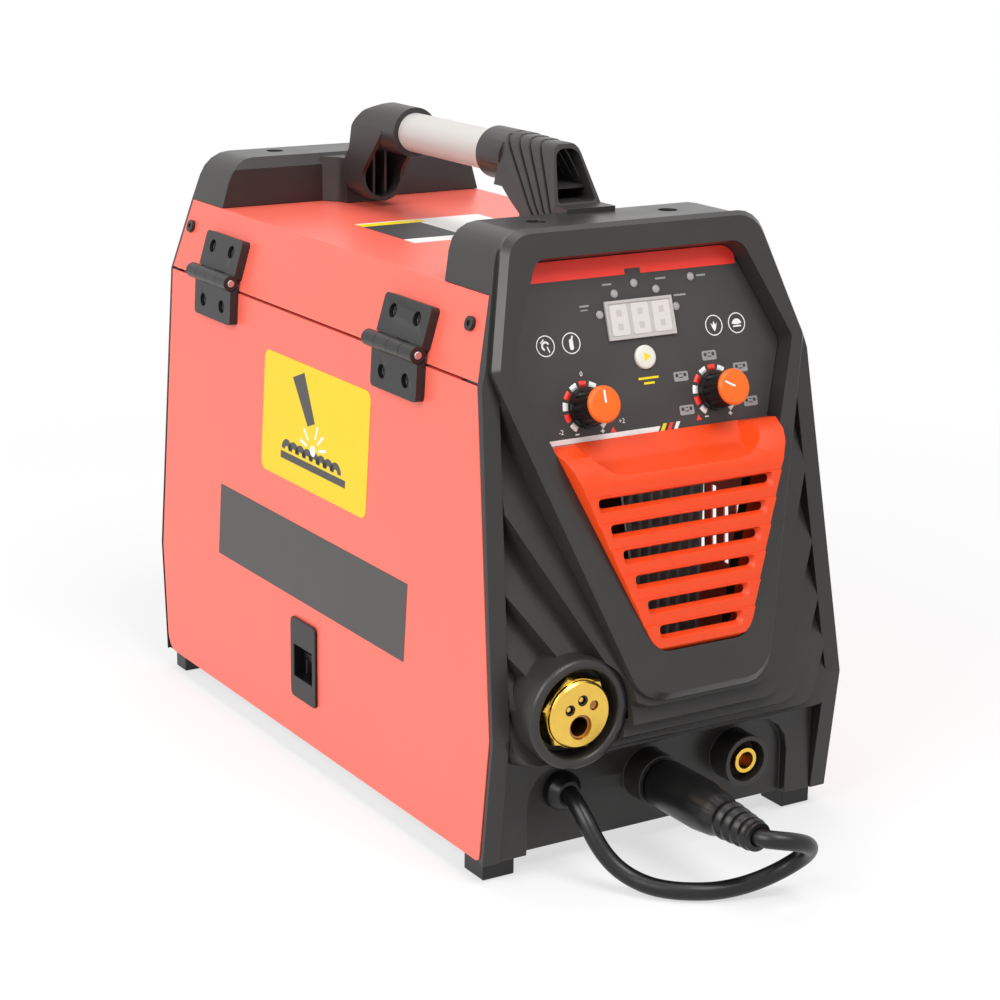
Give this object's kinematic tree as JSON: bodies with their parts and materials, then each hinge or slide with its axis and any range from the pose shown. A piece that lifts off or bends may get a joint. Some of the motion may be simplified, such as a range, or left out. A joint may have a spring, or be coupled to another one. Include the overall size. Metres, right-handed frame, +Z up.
{
  "type": "mig welding machine",
  "caption": "Portable wire-feed inverter welder with a folded sheet case, moulded end frames, tilted control face, louvred grille, brass torch socket, hinged side door and carrying handle.",
  "frame": {"origin": "middle of the case's bounding box on the plane the feet stand on, without the polarity lead", "axes": "-Y out of the front face, +Y to the fan, +Z up, -X to the hinged side door"},
  "size_m": [0.2136, 0.487, 0.3463],
  "materials": {
    "red_sheet": "satin powder coat",
    "moulding": "fine texture",
    "panel_film": "printed film",
    "display": "tinted window",
    "lens": "milky",
    "orange_grille": "satin",
    "brass": "machined",
    "black_plastic": "satin",
    "grip_grey": "satin",
    "black_steel": "satin black",
    "zinc_steel": "zinc plated",
    "black_rubber": "matt",
    "motor_grey": "satin",
    "board_green": "solder mask",
    "fin_aluminium": "extruded",
    "copper": "enamelled winding",
    "knob_orange": "satin",
    "button_white": "satin",
    "rocker_red": "gloss"
  },
  "bodies": {
    "machine": {"base_tray": "zinc_steel", "centre_partition": "zinc_steel", "outer_cover": "red_sheet", "front_frame": "moulding", "front_bezel": "moulding", "socket_panel": "moulding", "control_panel": "panel_film", "display_window": "display", "status_lenses": "lens", "control_pots": "zinc_steel", "grille": "orange_grille", "torch_socket": "brass", "torch_insulator": "black_plastic", "socket_contacts": "brass", "cable_gland": "black_plastic", "rear_frame": "moulding", "rear_panel": "moulding", "fan_frame": "black_plastic", "fan_guard": "zinc_steel", "switch_housing": "black_plastic", "gas_inlet": "brass", "mains_gland": "black_plastic", "handle_front_bracket": "moulding", "handle_rear_bracket": "moulding", "handle_tube": "grip_grey", "frame_screws": "black_steel", "cover_screws": "black_steel", "hinge_upper_leaves": "black_steel", "hinge_pins": "zinc_steel", "rubber_feet": "black_rubber", "feed_plate": "zinc_steel", "feed_motor": "motor_grey", "inlet_guide": "zinc_steel", "wire_outlet": "brass", "spool_axle": "zinc_steel", "inverter_board": "board_green", "heat_sink": "fin_aluminium", "output_choke": "copper", "gas_valve": "motor_grey", "polarity_lead": "black_rubber", "lead_plug": "black_rubber"},
    "door": {"side_door": "red_sheet", "hinge_lower_leaves": "black_steel", "latch_housing": "black_plastic"},
    "latch": {"latch_slider": "black_plastic"},
    "left_knob": {"left_knob": "black_plastic", "left_knob_cap": "knob_orange"},
    "right_knob": {"right_knob": "black_plastic", "right_knob_cap": "knob_orange"},
    "mode_button": {"mode_button": "button_white"},
    "power_rocker": {"power_rocker": "rocker_red"},
    "fan_rotor": {"fan_rotor": "black_plastic"},
    "drive_roll": {"drive_roll": "zinc_steel"},
    "pressure_arm": {"pressure_arm": "black_plastic"},
    "pressure_roll": {"pressure_roll": "zinc_steel"},
    "tension_knob": {"tension_knob": "rocker_red"},
    "spool_hub": {"spool_hub": "black_plastic"},
    "hub_nut": {"hub_nut": "rocker_red"}
  },
  "joints": [
    {"name": "door_hinge", "type": "hinge", "parent": "machine", "child": "door", "pos_m": [-0.1016, 0.031, 0.251], "axis": [0, 1, 0], "range_deg": [0, 110]},
    {"name": "latch_slide", "type": "slide", "parent": "door", "child": "latch", "axis": [0, 0, 1], "range_m": [0, 0.008], "stiffness_N_per_m": 150, "springref_m": -0.006},
    {"name": "left_dial", "type": "hinge", "parent": "machine", "child": "left_knob", "pos_m": [-0.0385, -0.1545, 0.22887], "axis": [0, -0.9466, 0.3223], "range_deg": [-135, 135]},
    {"name": "right_dial", "type": "hinge", "parent": "machine", "child": "right_knob", "pos_m": [0.0385, -0.1545, 0.22887], "axis": [0, -0.9466, 0.3223], "range_deg": [-165, 105]},
    {"name": "mode_press", "type": "slide", "parent": "machine", "child": "mode_button", "axis": [0, 0.9466, -0.3223], "range_m": [0, 0.0015], "stiffness_N_per_m": 800, "springref_m": -0.001},
    {"name": "power_rocker", "type": "hinge", "parent": "machine", "child": "power_rocker", "pos_m": [0.05, 0.186, 0.212], "axis": [1, 0, 0], "range_deg": [-12, 0]},
    {"name": "fan_spin", "type": "hinge", "parent": "machine", "child": "fan_rotor", "pos_m": [0.047, 0.175, 0.128], "axis": [0, 1, 0], "continuous": true},
    {"name": "drive_roll_spin", "type": "hinge", "parent": "machine", "child": "drive_roll", "pos_m": [-0.066, -0.104, 0.0684], "axis": [1, 0, 0], "continuous": true},
    {"name": "pressure_arm_lift", "type": "hinge", "parent": "machine", "child": "pressure_arm", "pos_m": [-0.055, -0.134, 0.1078], "axis": [1, 0, 0], "range_deg": [0, 50]},
    {"name": "pressure_roll_spin", "type": "hinge", "parent": "pressure_arm", "child": "pressure_roll", "pos_m": [-0.066, -0.104, 0.0952], "axis": [1, 0, 0], "continuous": true},
    {"name": "tension_turn", "type": "hinge", "parent": "pressure_arm", "child": "tension_knob", "pos_m": [-0.055, -0.081, 0.1138], "axis": [0, 0, 1], "continuous": true},
    {"name": "spool_spin", "type": "hinge", "parent": "machine", "child": "spool_hub", "pos_m": [-0.039, 0.084, 0.146], "axis": [1, 0, 0], "continuous": true},
    {"name": "hub_nut_turn", "type": "hinge", "parent": "machine", "child": "hub_nut", "pos_m": [-0.076, 0.084, 0.146], "axis": [1, 0, 0], "continuous": true}
  ],
  "couplings": [
    {"joint": "pressure_roll_spin", "follows": "drive_roll_spin", "ratio": -1.3636}
  ]
}
